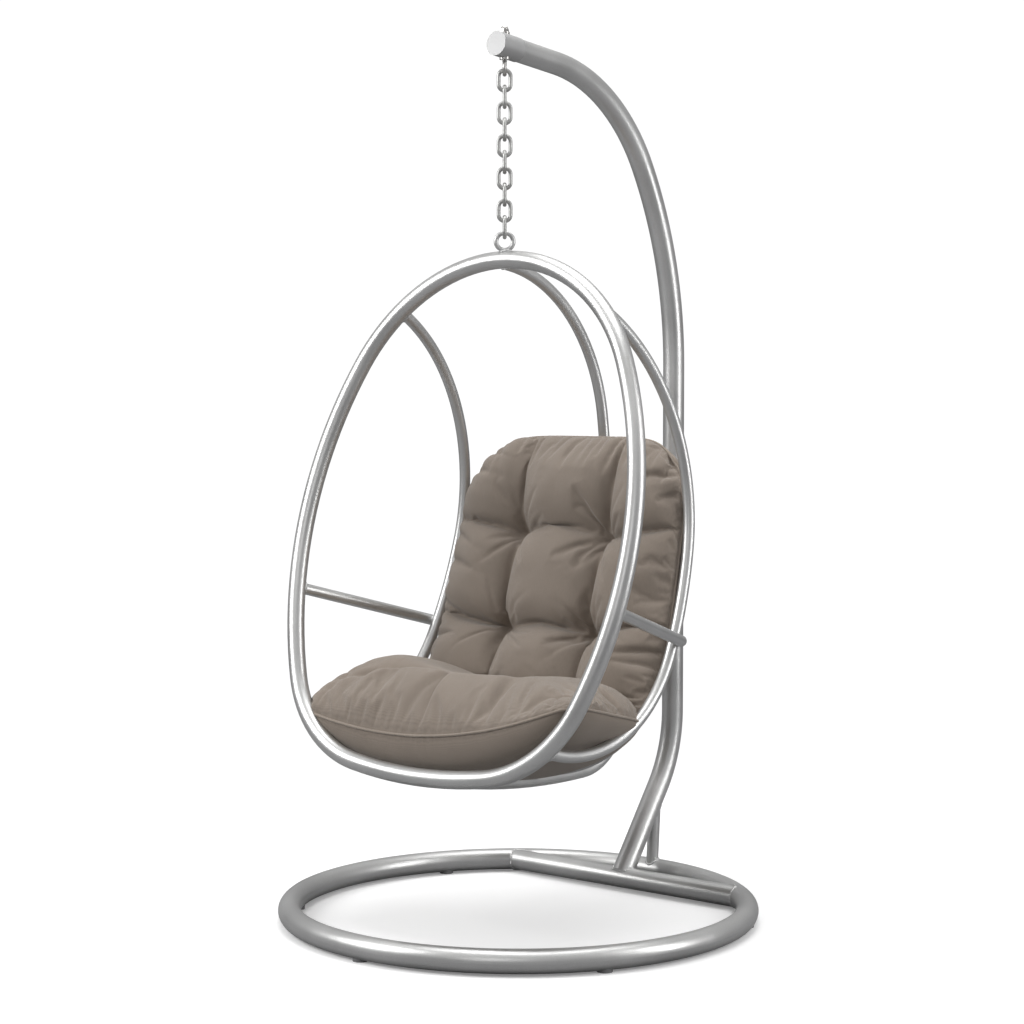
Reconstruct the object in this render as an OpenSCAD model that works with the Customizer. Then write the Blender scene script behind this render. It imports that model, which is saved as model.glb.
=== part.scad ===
// Hanging pod chair on a ring stand, in millimetres, +Z up.
// X is across the pod, the open front faces -Y, the stand's post is on +Y.
// The origin is on the floor under the middle of the whole chair.

/* [Stand] */
// Centreline diameter of the floor ring
ring_diameter = 1000; // [800:10:1200]
// Outside diameter of the ring, cross tube and post
stand_tube = 50; // [40:1:60]
// Wall of the stand's tubes
stand_wall = 1.8; // [1.2:0.1:3]
// Distance of the cross tube behind the chair's middle
cross_tube_y = 341; // [280:1:380]
// Distance of the post's straight part behind the chair's middle
post_y = 536; // [510:1:600]
// Bend radius at the bottom of the post
foot_bend_radius = 300; // [200:10:400]
// Height where the bottom bend starts
foot_bend_z = 400; // [340:5:480]
// Height of the joint between the two post halves
post_joint_z = 800; // [600:10:1000]
// Height where the crook starts
crook_z = 1215; // [1100:5:1400]
// Radius of the crook's long bend
crook_long_radius = 891; // [700:1:1000]
// Turn of the crook's long bend
crook_long_turn = 30.8; // [20:0.1:40]
// Radius of the crook's tight bend
crook_tight_radius = 419; // [350:1:450]
// Turn of the crook's tight bend
crook_tight_turn = 53.3; // [50:0.1:59]
// Straight end of the crook
crook_end = 202; // [150:1:260]
// Outside diameter of the short brace under the post
brace_tube = 28; // [20:1:32]
// Overlap of the spigot into each half of the post
spigot_overlap = 90; // [50:5:140]
// Diameter of each floor glide
glide_diameter = 32; // [24:1:44]
// Thickness of a glide under the ring
glide_height = 3; // [2:0.5:6]

/* [Hanging point] */
// Distance of the hanging axis behind the chair's middle
hang_y = -82; // [-110:1:-40]
// Turn of the chain about the hanging axis
chain_turn = 40; // [0:5:90]
// Shank diameter of the eye bolt
bolt_diameter = 10; // [8:0.5:12]
// Wire diameter of the bolt's eye
bolt_eye_wire = 9; // [7:0.5:10]
// Centreline radius of the bolt's eye
bolt_eye_radius = 13.5; // [12:0.5:16]
// Length of the slip-on cap at the crook's end
cap_length = 66; // [50:1:80]

/* [Chain] */
// Wire diameter of a link
link_wire = 8.5; // [7:0.5:9]
// Inside length of a link
link_inside = 35.1; // [32:0.1:40]
// Inside width of a link
link_inside_width = 17; // [16:0.5:20]
// Gap left between two links
link_gap = 0.4; // [0.3:0.1:1]
// Number of links
link_count = 10; // [10:1:10]

/* [Pod] */
// Outside diameter of the front hoop
hoop_tube = 38; // [30:1:42]
// Outside diameter of the side hoops, the rib and the arms
rib_tube = 25; // [19:1:28]
// Diameter of the two rails behind the cushions
rail_rod = 12; // [8:1:16]
// Wall of the front hoop
hoop_wall = 2; // [1.2:0.1:3]
// Wall of the side hoops, the rib and the arms
rib_wall = 1.2; // [1:0.1:2.5]
// Lean of the front hoop, bottom forward
hoop_lean = 14.9; // [10:0.1:20]
// Radius at the top of the hoop
hoop_top_radius = 408; // [360:1:450]
// Radius at the sides of the hoop
hoop_side_radius = 875; // [700:5:1000]
// Radius at the lower corners of the hoop
hoop_corner_radius = 270; // [220:1:320]
// Wire diameter of the ring on top of the hoop
pod_eye_wire = 10; // [8:0.5:12]
// Centreline radius of that ring
pod_eye_radius = 18.5; // [16:0.5:22]

/* [Cushions] */
// Thickness of cover and filling round the seat cushion's soft core
seat_shell = 26; // [16:1:30]
// Thickness of cover and filling round the back cushion's soft core
back_shell = 10; // [6:1:24]
// Half width between the seat's front corner centres
seat_half_width = 300; // [260:1:310]
// Half width between the back cushion's corner centres
back_half_width = 238; // [200:1:250]
// Height of the back cushion's upper corner centres
back_top_z = 990; // [900:5:1010]

/* [Hidden] */
$fn = 72;
soft_fn = 32;
tube_fn = 72;
bend_fn = 240;
seam = 0.01;
stand_radius = stand_tube / 2;
stand_bore = stand_radius - stand_wall;
ring_radius = ring_diameter / 2;
ring_y = ring_radius - post_y;
cross_step = 1;
cross_radius = stand_radius - cross_step;
cross_bore = cross_radius - stand_wall;
ring_z = glide_height + stand_radius;
glide_angles = [30, 90, 150, 210, 270, 330];
glide_reach = 9;

// Post: the foot bend ends where a straight leg meets the cross tube
foot_turn = 36.4;
leg_top_y = post_y - foot_bend_radius * (1 - cos(foot_turn));
leg_top_z = foot_bend_z - foot_bend_radius * sin(foot_turn);
leg_length = (leg_top_y - cross_tube_y) / sin(foot_turn);
leg_foot_z = leg_top_z - leg_length * cos(foot_turn);
spigot_gap = 0.15;
spigot_wall = 2.5;
spigot_radius = stand_bore - spigot_gap;
overshoot = 1;
post_bolt_radius = 4;
post_bolt_clearance = 0.2;
post_bolt_offset = 45;
post_head_radius = 8;
post_head_height = 4;
post_head_gap = 0.2;

// Brace: from the ring's top up to the leg of the post
brace_radius = brace_tube / 2;
brace_wall = 1.5;
brace_foot_y = ring_y + ring_radius - 8;
brace_top_y = ring_y + ring_radius + 4;
brace_rise = 175;
brace_lean = atan((brace_top_y - brace_foot_y) / brace_rise);

// Crook end and hanging point
crook_turn = crook_long_turn + crook_tight_turn;
crook_mid_y = post_y - crook_long_radius * (1 - cos(crook_long_turn));
crook_mid_z = crook_z + crook_long_radius * sin(crook_long_turn);
crook_out_y = crook_mid_y - crook_tight_radius * (cos(crook_long_turn) - cos(crook_turn));
crook_out_z = crook_mid_z + crook_tight_radius * (sin(crook_turn) - sin(crook_long_turn));
tip_y = crook_out_y - crook_end * sin(crook_turn);
tip_z = crook_out_z + crook_end * cos(crook_turn);
tip_rise = 90 - crook_turn;
cap_gap = 0.15;
cap_wall = 1.3;
cap_plate = 3;
cap_bore = stand_radius + cap_gap;
cap_radius = cap_bore + cap_wall;
hang_axis_z = tip_z - (hang_y - tip_y) * tan(tip_rise);
hang_under_z = hang_axis_z - cap_radius / cos(tip_rise);
hang_over_z = hang_axis_z + cap_radius / cos(tip_rise);
washer_radius = 11;
washer_height = 2.5;
bolt_radius = bolt_diameter / 2;
bolt_clearance = 0.3;
bolt_eye_wire_radius = bolt_eye_wire / 2;
bolt_eye_z = hang_under_z - washer_height - bolt_eye_radius - bolt_eye_wire_radius;
nut_radius = 9.8;
nut_height = 6;
dome_radius = 8;
thread_clearance = 0.1;

// Chain
link_radius = link_wire / 2;
link_bow = (link_inside_width + link_wire) / 2;
link_leg = link_inside + link_wire - 2 * link_bow;
link_half = link_bow + link_leg / 2;
link_pitch = link_inside - link_gap;
link_top_z = bolt_eye_z - bolt_eye_radius + bolt_eye_wire_radius + link_gap + link_radius;
link_first_z = link_top_z - link_half;
link_last_z = link_first_z - (link_count - 1) * link_pitch;
pod_eye_wire_radius = pod_eye_wire / 2;
pod_eye_top_z = link_last_z - link_half + link_radius + link_gap + pod_eye_wire_radius;
pod_eye_z = pod_eye_top_z - pod_eye_radius;

// Front hoop: four arcs a side, in a plane that leans by hoop_lean
hoop_radius = hoop_tube / 2;
hoop_sink = 4;
hoop_setback = 3;
hoop_y = hang_y + hoop_setback;
hoop_top_z = pod_eye_z - pod_eye_radius - pod_eye_wire_radius + hoop_sink - hoop_radius;
hoop_top_turn = 64;
hoop_side_turn = 48;
hoop_corner_turn = 59;
hoop_bottom_turn = 180 - hoop_top_turn - hoop_side_turn - hoop_corner_turn;
hoop_a = hoop_top_turn;
hoop_b = hoop_a + hoop_side_turn;
hoop_c = hoop_b + hoop_corner_turn;
hoop_u1 = hoop_top_radius * sin(hoop_a);
hoop_u2 = hoop_u1 + hoop_side_radius * (sin(hoop_b) - sin(hoop_a));
hoop_u3 = hoop_u2 + hoop_corner_radius * (sin(hoop_c) - sin(hoop_b));
hoop_bottom_radius = hoop_u3 / sin(hoop_c);
hoop_v1 = hoop_top_radius * (1 - cos(hoop_a));
hoop_v2 = hoop_v1 + hoop_side_radius * (cos(hoop_a) - cos(hoop_b));
hoop_v3 = hoop_v2 + hoop_corner_radius * (cos(hoop_b) - cos(hoop_c));
hoop_length = hoop_v3 + hoop_bottom_radius * (1 + cos(hoop_c));
hoop_half_path = [
    [hoop_top_radius, -hoop_top_turn],
    [hoop_side_radius, -hoop_side_turn],
    [hoop_corner_radius, -hoop_corner_turn],
    [hoop_bottom_radius, -hoop_bottom_turn]
];
hoop_loop = [
    [hoop_top_radius, -2 * hoop_top_turn],
    [hoop_side_radius, -hoop_side_turn],
    [hoop_corner_radius, -hoop_corner_turn],
    [hoop_bottom_radius, -2 * hoop_bottom_turn],
    [hoop_corner_radius, -hoop_corner_turn],
    [hoop_side_radius, -hoop_side_turn]
];

// Side hoops: three arcs in a plane that opens out towards the bottom
rib_radius = rib_tube / 2;
side_start = [278, hang_y - 29, hoop_top_z - 105.6];
side_plane = [0.048, -0.07];
side_heading = -25.3;
side_path = [
    [462, -77.3],
    [932, -14.4],
    [328, -83]
];

// Rib: a top arc, a straight back, a corner and a shallow bottom arc in the middle plane
rib_start = [0, hoop_y, hoop_top_z - 10];
rib_heading = -6.4;
rib_path = [
    [389, -76.2],
    [0, 626],
    [157, -95.6],
    [2022, -16]
];

// Arms: straight tubes with a rounded rear end outside each side hoop
arm_front = [446, hang_y - 187, hoop_top_z - 718];
arm_rear = [357, hang_y + 156, hoop_top_z - 811];
arm_run = arm_rear - arm_front;
arm_length = norm(arm_run);
arm_yaw = atan2(arm_run[1], arm_run[0]);
arm_pitch = acos(arm_run[2] / arm_length);

// Rails behind the cushions
rail_radius = rail_rod / 2;
upper_rail_z = hoop_top_z - 589;
upper_rail_bend = 456;
upper_rail_back = hang_y + 363;
upper_rail_half_turn = 45.8;
lower_rail_y = hang_y + 109;
lower_rail_bend = 371;
lower_rail_z = hoop_top_z - 1122;
lower_rail_half_turn = 68.5;

seat_front = [[seat_half_width, hang_y - 217, hoop_top_z - 947, 48], [130, hang_y - 221, hoop_top_z - 989, 52]];
seat_rear = [[250, hang_y + 36, hoop_top_z - 967, 45], [100, hang_y + 36, hoop_top_z - 995, 49]];
seat_belly = [[90, hang_y - 70, hoop_top_z - 1040, 68]];
back_low = [[back_half_width, hang_y + 133, hoop_top_z - 939, 45], [100, hang_y + 153, hoop_top_z - 939, 54]];
back_high = [[back_half_width, hang_y + 269, back_top_z, 42], [100, hang_y + 294, back_top_z + 2, 44]];

// ---- tube paths: a path starts at the origin heading +Y, a positive turn bends towards -X ----

module ring_profile(outer, inner) {
    difference() {
        circle(r = outer, $fn = tube_fn);
        circle(r = inner, $fn = tube_fn);
    }
}

// Inner 0 gives a solid rod
module tube_run(length, outer, inner) {
    rotate([-90, 0, 0])
        if (inner > 0)
            linear_extrude(length - seam)
                ring_profile(outer, inner);
        else
            cylinder(h = length - seam, r = outer, $fn = tube_fn);
}

module tube_bend(radius, turn, outer, inner) {
    seam_turn = seam / radius * 180 / PI;
    rotate([0, turn > 0 ? 0 : 180, 0])
        translate([-radius, 0, 0])
            rotate_extrude(angle = abs(turn) - seam_turn, $fn = bend_fn)
                translate([radius, 0, 0])
                    if (inner > 0)
                        ring_profile(outer, inner);
                    else
                        circle(r = outer, $fn = tube_fn);
}

// Each segment is [bend radius, turn], or [0, length] for a straight run.
// A seam of a hundredth of a millimetre keeps the segments as exact solids of their own.
module tube_path(segments, outer, inner, index = 0) {
    if (index < len(segments)) {
        radius = segments[index][0];
        amount = segments[index][1];
        if (radius == 0) {
            tube_run(amount, outer, inner);
            translate([0, amount, 0])
                tube_path(segments, outer, inner, index + 1);
        } else {
            side = amount > 0 ? 1 : -1;
            tube_bend(radius, amount, outer, inner);
            translate([-side * radius, 0, 0])
                rotate([0, 0, amount])
                    translate([side * radius, 0, 0])
                        tube_path(segments, outer, inner, index + 1);
        }
    }
}

// The path's heading becomes +Z and a positive turn bends towards -Y
module in_mid_plane() {
    multmatrix([
        [0, 0, 1, 0],
        [1, 0, 0, 0],
        [0, 1, 0, 0],
        [0, 0, 0, 1]
    ]) children();
}

module in_hoop_plane() {
    multmatrix([
        [0, 1, 0, 0],
        [-sin(hoop_lean), 0, -cos(hoop_lean), hoop_y],
        [-cos(hoop_lean), 0, sin(hoop_lean), hoop_top_z],
        [0, 0, 0, 1]
    ]) children();
}

// The path's heading becomes +Y and a negative turn bends towards -Z, in the side hoop's plane
module in_side_plane() {
    scale_e = sqrt(1 + side_plane[0] * side_plane[0]);
    e = [side_plane[0] / scale_e, 1 / scale_e, 0];
    scale_n = sqrt(1 + side_plane[0] * side_plane[0] + side_plane[1] * side_plane[1]);
    n = [1 / scale_n, -side_plane[0] / scale_n, -side_plane[1] / scale_n];
    f = cross(n, e);
    multmatrix([
        [-f[0], e[0], n[0], side_start[0]],
        [-f[1], e[1], n[1], side_start[1]],
        [-f[2], e[2], n[2], side_start[2]],
        [0, 0, 0, 1]
    ])
        rotate([0, 0, side_heading])
            children();
}

// The path's heading becomes +Y and a negative turn bends towards -Z, on the middle plane
module in_rib_plane() {
    translate(rib_start)
        rotate([rib_heading, 0, 0])
            rotate([0, 90, 0])
                children();
}

// ---- stand ----

module ring_solid() {
    translate([0, ring_y, ring_z])
        rotate_extrude($fn = bend_fn)
            translate([ring_radius, 0, 0])
                circle(r = stand_radius, $fn = tube_fn);
}

module base_ring() {
    color("silver")
        translate([0, ring_y, ring_z])
            rotate_extrude($fn = bend_fn)
                translate([ring_radius, 0, 0])
                    ring_profile(stand_radius, stand_bore);
}

module cross_solid(outer) {
    translate([0, cross_tube_y, ring_z])
        rotate([0, 90, 0])
            cylinder(h = ring_diameter, r = outer, center = true);
}

module cross_tube() {
    offset_y = cross_tube_y - ring_y;
    half_chord = sqrt(ring_radius * ring_radius - offset_y * offset_y);
    color("silver")
        difference() {
            translate([0, cross_tube_y, ring_z])
                rotate([0, 90, 0])
                    cylinder(h = 2 * half_chord, r = cross_radius, center = true);
            cross_solid(cross_bore);
            ring_solid();
        }
}

module leg_solid(outer) {
    translate([0, leg_top_y, leg_top_z])
        rotate([180 - foot_turn, 0, 0])
            cylinder(h = leg_length, r = outer);
}

// Blind-ended holes for the bolt that crosses the post at the joint
module post_bolt_hole(offset_z) {
    translate([0, post_y, post_joint_z + offset_z])
        rotate([0, 90, 0])
            cylinder(h = 2 * stand_tube, r = post_bolt_radius + post_bolt_clearance, center = true);
}

module post_lower() {
    color("silver")
        difference() {
            translate([0, cross_tube_y, leg_foot_z])
                rotate([-foot_turn, 0, 0])
                    in_mid_plane()
                        tube_path([
                            [0, leg_length],
                            [foot_bend_radius, foot_turn],
                            [0, post_joint_z - foot_bend_z]
                        ], stand_radius, stand_bore);
            cross_solid(cross_radius);
            post_bolt_hole(-post_bolt_offset);
        }
}

module post_upper() {
    color("silver")
        difference() {
            translate([0, post_y, post_joint_z])
                in_mid_plane()
                    tube_path([
                        [0, crook_z - post_joint_z],
                        [crook_long_radius, crook_long_turn],
                        [crook_tight_radius, crook_tight_turn],
                        [0, crook_end]
                    ], stand_radius, stand_bore);
            post_bolt_hole(post_bolt_offset);
            hang_bore();
        }
}

module post_spigot() {
    color("silver")
        difference() {
            translate([0, post_y, post_joint_z - spigot_overlap])
                cylinder(h = 2 * spigot_overlap, r = spigot_radius);
            translate([0, post_y, post_joint_z - spigot_overlap - overshoot])
                cylinder(h = 2 * (spigot_overlap + overshoot), r = spigot_radius - spigot_wall);
            post_bolt_hole(-post_bolt_offset);
            post_bolt_hole(post_bolt_offset);
        }
}

module post_bolt(offset_z) {
    color("gainsboro")
        translate([0, post_y, post_joint_z + offset_z])
            rotate([0, 90, 0]) {
                cylinder(h = stand_tube + post_head_height, r = post_bolt_radius, center = true);
                translate([0, 0, stand_radius + post_head_gap])
                    cylinder(h = post_head_height, r = post_head_radius);
                translate([0, 0, -stand_radius - post_head_gap - post_head_height])
                    cylinder(h = post_head_height, r = post_head_radius);
            }
}

module post_bolt_1() { post_bolt(-post_bolt_offset); }
module post_bolt_2() { post_bolt(post_bolt_offset); }

module post_brace() {
    color("silver")
        difference() {
            translate([0, brace_foot_y, ring_z])
                rotate([-brace_lean, 0, 0])
                    linear_extrude(brace_rise)
                        ring_profile(brace_radius, brace_radius - brace_wall);
            ring_solid();
            leg_solid(stand_radius);
        }
}

module glide(angle) {
    color("dimgray")
        difference() {
            translate([0, ring_y, 0])
                rotate([0, 0, angle])
                    translate([ring_radius, 0, 0])
                        cylinder(h = glide_reach, r = glide_diameter / 2);
            ring_solid();
        }
}

module glide_1() { glide(glide_angles[0]); }
module glide_2() { glide(glide_angles[1]); }
module glide_3() { glide(glide_angles[2]); }
module glide_4() { glide(glide_angles[3]); }
module glide_5() { glide(glide_angles[4]); }
module glide_6() { glide(glide_angles[5]); }

// ---- hanging point ----

module hang_bore() {
    translate([0, hang_y, hang_axis_z])
        cylinder(h = 3 * stand_tube, r = bolt_radius + bolt_clearance, center = true);
}

// Along the crook's straight end, from the tip back towards the bend
module at_tip() {
    translate([0, tip_y, tip_z])
        rotate([-90 - tip_rise, 0, 0])
            children();
}

module crook_cap() {
    color("silver")
        difference() {
            at_tip()
                translate([0, 0, -cap_plate - cap_gap])
                    cylinder(h = cap_length + cap_plate, r = cap_radius);
            at_tip()
                translate([0, 0, -cap_gap])
                    cylinder(h = cap_length + overshoot, r = cap_bore);
            hang_bore();
        }
}

module washer_upper() {
    color("gainsboro")
        difference() {
            translate([0, hang_y, hang_axis_z])
                cylinder(h = hang_over_z + washer_height - hang_axis_z, r = washer_radius);
            at_tip()
                cylinder(h = cap_length, r = cap_radius);
            hang_bore();
        }
}

module washer_lower() {
    color("gainsboro")
        difference() {
            translate([0, hang_y, hang_under_z - washer_height])
                cylinder(h = hang_axis_z - hang_under_z, r = washer_radius);
            at_tip()
                cylinder(h = cap_length, r = cap_radius);
            hang_bore();
        }
}

module eye_bolt() {
    color("gainsboro") {
        translate([0, hang_y, bolt_eye_z + bolt_eye_radius])
            cylinder(h = hang_over_z + washer_height + nut_height - bolt_eye_z - bolt_eye_radius, r = bolt_radius);
        translate([0, hang_y, bolt_eye_z])
            rotate([0, 0, chain_turn + 90])
                rotate([90, 0, 0])
                    rotate_extrude()
                        translate([bolt_eye_radius, 0, 0])
                            circle(r = bolt_eye_wire_radius);
    }
}

module dome_nut() {
    nut_z = hang_over_z + washer_height;
    color("gainsboro")
        translate([0, hang_y, nut_z])
            difference() {
                union() {
                    cylinder(h = nut_height, r = nut_radius, $fn = 6);
                    intersection() {
                        translate([0, 0, nut_height])
                            sphere(r = dome_radius);
                        translate([0, 0, nut_height])
                            cylinder(h = dome_radius, r = dome_radius + overshoot);
                    }
                }
                translate([0, 0, -overshoot])
                    cylinder(h = nut_height + overshoot + thread_clearance, r = bolt_radius + thread_clearance);
            }
}

// ---- chain ----

// A link in the XZ plane about the origin
module link_shape() {
    rotate([90, 0, 0])
        for (end = [0, 180])
            rotate([0, 0, end]) {
                translate([link_bow, -link_leg / 2, 0])
                    rotate([-90, 0, 0])
                        cylinder(h = link_leg, r = link_radius);
                translate([0, link_leg / 2, 0])
                    rotate_extrude(angle = 180)
                        translate([link_bow, 0, 0])
                            circle(r = link_radius);
            }
}

// Odd links lie across the view of the chain's face, even ones are a quarter turn on
module chain_link(number) {
    quarter = number % 2 == 1 ? 0 : 90;
    color("lightgray")
        translate([0, hang_y, link_first_z - (number - 1) * link_pitch])
            rotate([0, 0, chain_turn + quarter])
                link_shape();
}

module link_01() { chain_link(1); }
module link_02() { chain_link(2); }
module link_03() { chain_link(3); }
module link_04() { chain_link(4); }
module link_05() { chain_link(5); }
module link_06() { chain_link(6); }
module link_07() { chain_link(7); }
module link_08() { chain_link(8); }
module link_09() { chain_link(9); }
module link_10() { chain_link(10); }

// ---- pod frame ----

module hoop_top_solid() {
    in_hoop_plane() {
        translate([hoop_top_radius, 0, 0])
            rotate([0, 0, 180 - hoop_top_turn])
                rotate_extrude(angle = 2 * hoop_top_turn, $fn = bend_fn)
                    translate([hoop_top_radius, 0, 0])
                        circle(r = hoop_radius, $fn = tube_fn);
    }
}

module pod_eye() {
    color("silver")
        difference() {
            translate([0, hang_y, pod_eye_z])
                rotate([0, 0, chain_turn])
                    rotate([90, 0, 0])
                        rotate_extrude()
                            translate([pod_eye_radius, 0, 0])
                                circle(r = pod_eye_wire_radius);
            hoop_top_solid();
        }
}

module front_hoop() {
    color("silver")
        in_hoop_plane()
            translate([hoop_top_radius, 0, 0])
                rotate([0, 0, hoop_top_turn])
                    translate([-hoop_top_radius, 0, 0])
                        tube_path(hoop_loop, hoop_radius, hoop_radius - hoop_wall);
}

// Only the arcs that a joint reaches are cut away, which keeps each cut simple
module hoop_bottom_solid() {
    in_hoop_plane()
        translate([hoop_length, 0, 0])
            rotate([0, 0, 180])
                translate([-hoop_bottom_radius, 0, 0])
                    rotate([0, 0, -hoop_bottom_turn])
                        rotate_extrude(angle = 2 * hoop_bottom_turn, $fn = bend_fn)
                            translate([hoop_bottom_radius, 0, 0])
                                circle(r = hoop_radius, $fn = tube_fn);
}

module side_solid() {
    in_side_plane()
        tube_path(side_path, rib_radius, 0);
}

module rib_solid() {
    in_rib_plane()
        tube_path(rib_path, rib_radius, 0);
}

module hoop_half_solid() {
    in_hoop_plane()
        tube_path(hoop_half_path, hoop_radius, 0);
}

module side_hoop() {
    color("silver")
        difference() {
            in_side_plane()
                tube_path(side_path, rib_radius, rib_radius - rib_wall);
            hoop_half_solid();
        }
}

module side_hoop_right() { side_hoop(); }

module side_hoop_left() {
    mirror([1, 0, 0])
        side_hoop();
}

module centre_rib() {
    color("silver")
        difference() {
            in_rib_plane()
                tube_path(rib_path, rib_radius, rib_radius - rib_wall);
            hoop_top_solid();
            hoop_bottom_solid();
        }
}

module arm() {
    color("silver")
        difference() {
            translate(arm_front)
                rotate([0, arm_pitch, arm_yaw]) {
                    linear_extrude(arm_length)
                        ring_profile(rib_radius, rib_radius - rib_wall);
                    translate([0, 0, arm_length])
                        difference() {
                            sphere(r = rib_radius);
                            sphere(r = rib_radius - rib_wall);
                            translate([0, 0, -rib_tube])
                                cylinder(h = rib_tube, r = rib_tube);
                        }
                }
            hoop_half_solid();
            side_solid();
        }
}

module arm_right() { arm(); }

module arm_left() {
    mirror([1, 0, 0])
        arm();
}

module both_sides() {
    children();
    mirror([1, 0, 0])
        children();
}

module rail_upper() {
    color("silver")
        difference() {
            translate([0, upper_rail_back - upper_rail_bend, upper_rail_z])
                rotate([0, 0, 90 - upper_rail_half_turn])
                    rotate_extrude(angle = 2 * upper_rail_half_turn, $fn = bend_fn)
                        translate([upper_rail_bend, 0, 0])
                            circle(r = rail_radius, $fn = tube_fn);
            both_sides()
                side_solid();
            rib_solid();
        }
}

module rail_lower() {
    color("silver")
        difference() {
            translate([0, lower_rail_y, lower_rail_z + lower_rail_bend])
                rotate([90, 0, 0])
                    rotate([0, 0, -90 - lower_rail_half_turn])
                        rotate_extrude(angle = 2 * lower_rail_half_turn, $fn = bend_fn)
                            translate([lower_rail_bend, 0, 0])
                                circle(r = rail_radius, $fn = tube_fn);
            both_sides()
                side_solid();
            rib_solid();
        }
}

// ---- cushions ----

// Hull of soft corners, each [x, y, z, radius], on both sides of the middle
module soft_hull(corners, inset) {
    hull()
        for (corner = corners)
            for (side = [-1, 1])
                translate([side * corner[0], corner[1], corner[2]])
                    sphere(r = corner[3] - inset, $fn = soft_fn);
}

module cushion(corners, shell) {
    color("tan")
        difference() {
            soft_hull(corners, 0);
            soft_hull(corners, shell);
        }
}

module seat_cushion() { cushion(concat(seat_front, seat_rear, seat_belly), seat_shell); }
module back_cushion() { cushion(concat(back_low, back_high), back_shell); }

base_ring();
cross_tube();
post_lower();
post_upper();
post_spigot();
post_bolt_1();
post_bolt_2();
post_brace();
glide_1();
glide_2();
glide_3();
glide_4();
glide_5();
glide_6();
crook_cap();
eye_bolt();
washer_upper();
washer_lower();
dome_nut();
link_01();
link_02();
link_03();
link_04();
link_05();
link_06();
link_07();
link_08();
link_09();
link_10();
pod_eye();
front_hoop();
side_hoop_left();
side_hoop_right();
centre_rib();
arm_left();
arm_right();
rail_upper();
rail_lower();
seat_cushion();
back_cushion();
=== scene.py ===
# Hanging pod chair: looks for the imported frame. Metres, +Z up, the pod's open front faces -Y.
import math

import bpy
import numpy as np
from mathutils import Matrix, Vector, noise
from mathutils.bvhtree import BVHTree


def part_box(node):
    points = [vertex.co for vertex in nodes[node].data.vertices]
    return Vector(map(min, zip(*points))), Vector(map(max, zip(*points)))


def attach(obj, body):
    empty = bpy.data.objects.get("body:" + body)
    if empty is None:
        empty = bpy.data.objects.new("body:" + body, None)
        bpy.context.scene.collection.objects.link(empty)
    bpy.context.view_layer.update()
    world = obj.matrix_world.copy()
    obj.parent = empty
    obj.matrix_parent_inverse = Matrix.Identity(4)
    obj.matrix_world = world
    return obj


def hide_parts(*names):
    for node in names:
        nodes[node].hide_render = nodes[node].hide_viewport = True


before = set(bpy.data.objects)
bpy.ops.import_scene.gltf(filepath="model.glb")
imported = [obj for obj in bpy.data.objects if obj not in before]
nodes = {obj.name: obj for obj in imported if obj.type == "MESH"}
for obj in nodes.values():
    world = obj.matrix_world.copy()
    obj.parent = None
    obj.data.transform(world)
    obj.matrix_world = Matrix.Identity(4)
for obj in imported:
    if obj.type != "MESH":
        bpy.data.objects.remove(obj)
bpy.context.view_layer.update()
print("frame loaded:", len(nodes), "nodes")


camera = {
    "azimuth": 40.0,      # degrees round the chair, 0 looks along +Y
    "pitch": 3.03,        # degrees above the horizon
    "distance": 5.0,
    "aim": (-0.010, -0.0455, 0.892),
    "lens": 80.8,         # mm
    "sensor": 36,         # mm
    "farthest": 60,
}


def addNode(tree, kind, values=None, **settings):
    node = tree.nodes.new(kind)
    for key, value in settings.items():
        setattr(node, key, value)
    for key, value in (values or {}).items():
        node.inputs[key].default_value = value
    return node


def makeCamera(c):
    data = bpy.data.cameras.new("studioCamera")
    data.lens = c["lens"]
    data.sensor_width = c["sensor"]
    data.clip_end = c["farthest"]
    obj = bpy.data.objects.new("studioCamera", data)
    bpy.context.scene.collection.objects.link(obj)
    a, e = math.radians(c["azimuth"]), math.radians(c["pitch"])
    away = Vector((math.sin(a) * math.cos(e), -math.cos(a) * math.cos(e), math.sin(e)))
    obj.location = Vector(c["aim"]) + c["distance"] * away
    obj.rotation_euler = (-away).to_track_quat("-Z", "Y").to_euler()
    bpy.context.scene.camera = obj


def makeSoftbox(name, size, power, place, aim):
    data = bpy.data.lights.new(name, "AREA")
    data.shape = "RECTANGLE"
    data.size, data.size_y = size
    data.energy = power
    obj = bpy.data.objects.new(name, data)
    bpy.context.scene.collection.objects.link(obj)
    obj.location = place
    obj.rotation_euler = (Vector(aim) - Vector(place)).to_track_quat("-Z", "Y").to_euler()


studio = {
    "floorSize": 40.0,
    "floorColour": (0.93, 0.93, 0.93, 1),
    "floorRoughness": 0.8,
    "floorLift": 0.16,         # glow that keeps the paper near white
    "floorFelt": (0.28, 0.28, 0.285, 1),
    "paperFrom": 0.75,         # metres from the middle where the floor starts to turn into paper
    "paperTo": 2.3,
    "skyStrength": 1.0,
    "paperStrength": 1.05,
    "roomSpan": (0.44, 0.95),  # where the room turns from low to high, 0 underfoot and 1 overhead
    "roomLow": (0.20, 0.20, 0.205, 1),
    "roomHigh": (0.62, 0.62, 0.62, 1),
    # name, size, power, place, aim
    "boxes": (
        ("keyBox", (1.8, 2.4), 105, (-2.3, -3.2, 2.9), (0, 0, 0.9)),
        ("rightBox", (0.9, 3.0), 52, (3.5, 1.3, 1.9), (0, 0, 0.9)),
        ("topBox", (3.0, 3.0), 92, (0.0, 0.2, 4.4), (0, 0, 0.3)),
        ("frontFill", (1.6, 1.6), 16, (2.4, -4.6, 2.4), (0, 0, 0.7)),
    ),
}


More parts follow.
